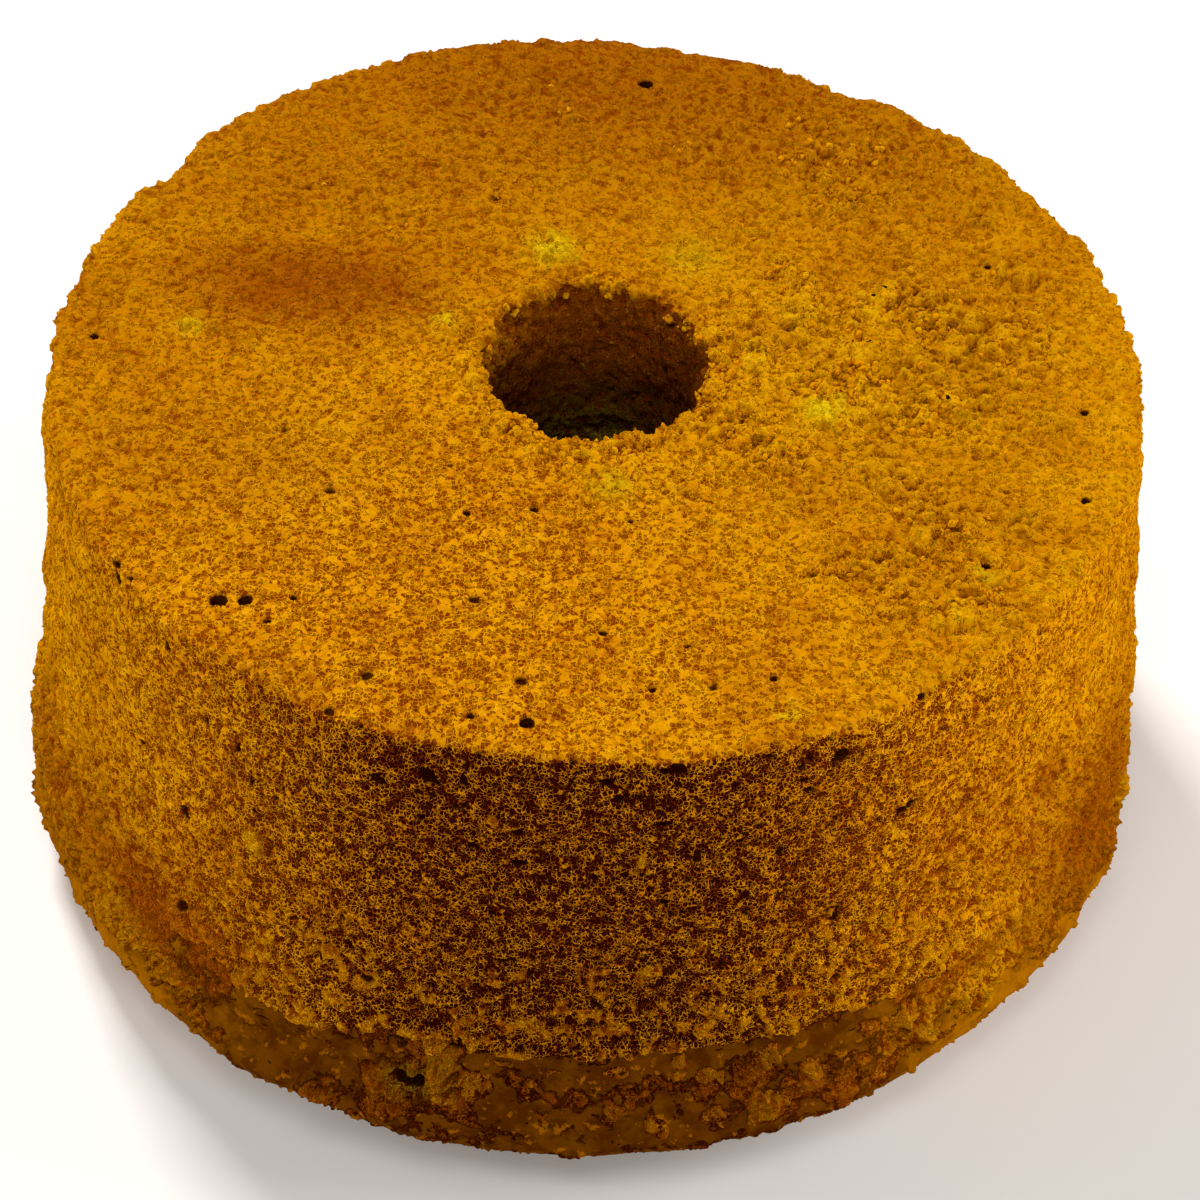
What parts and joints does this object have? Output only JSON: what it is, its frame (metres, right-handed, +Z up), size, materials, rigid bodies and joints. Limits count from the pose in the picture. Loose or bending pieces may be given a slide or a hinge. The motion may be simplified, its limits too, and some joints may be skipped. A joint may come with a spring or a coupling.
{
  "type": "sponge cake",
  "caption": "Tall round sponge cake baked in a tube pan, with a flat porous top, a tapered wall, a rounded foot and a hole through its middle.",
  "frame": {"origin": "on the surface that the cake stands on, under the middle of its box", "axes": "+Z up along the hole, front of the cake towards -Y, right of the cake towards +X"},
  "size_m": [0.2018, 0.2004, 0.0989],
  "materials": {
    "crumb": "golden porous sponge crumb, browned in patches, dull all over"
  },
  "bodies": {
    "root": {"cake": "crumb"}
  },
  "joints": []
}
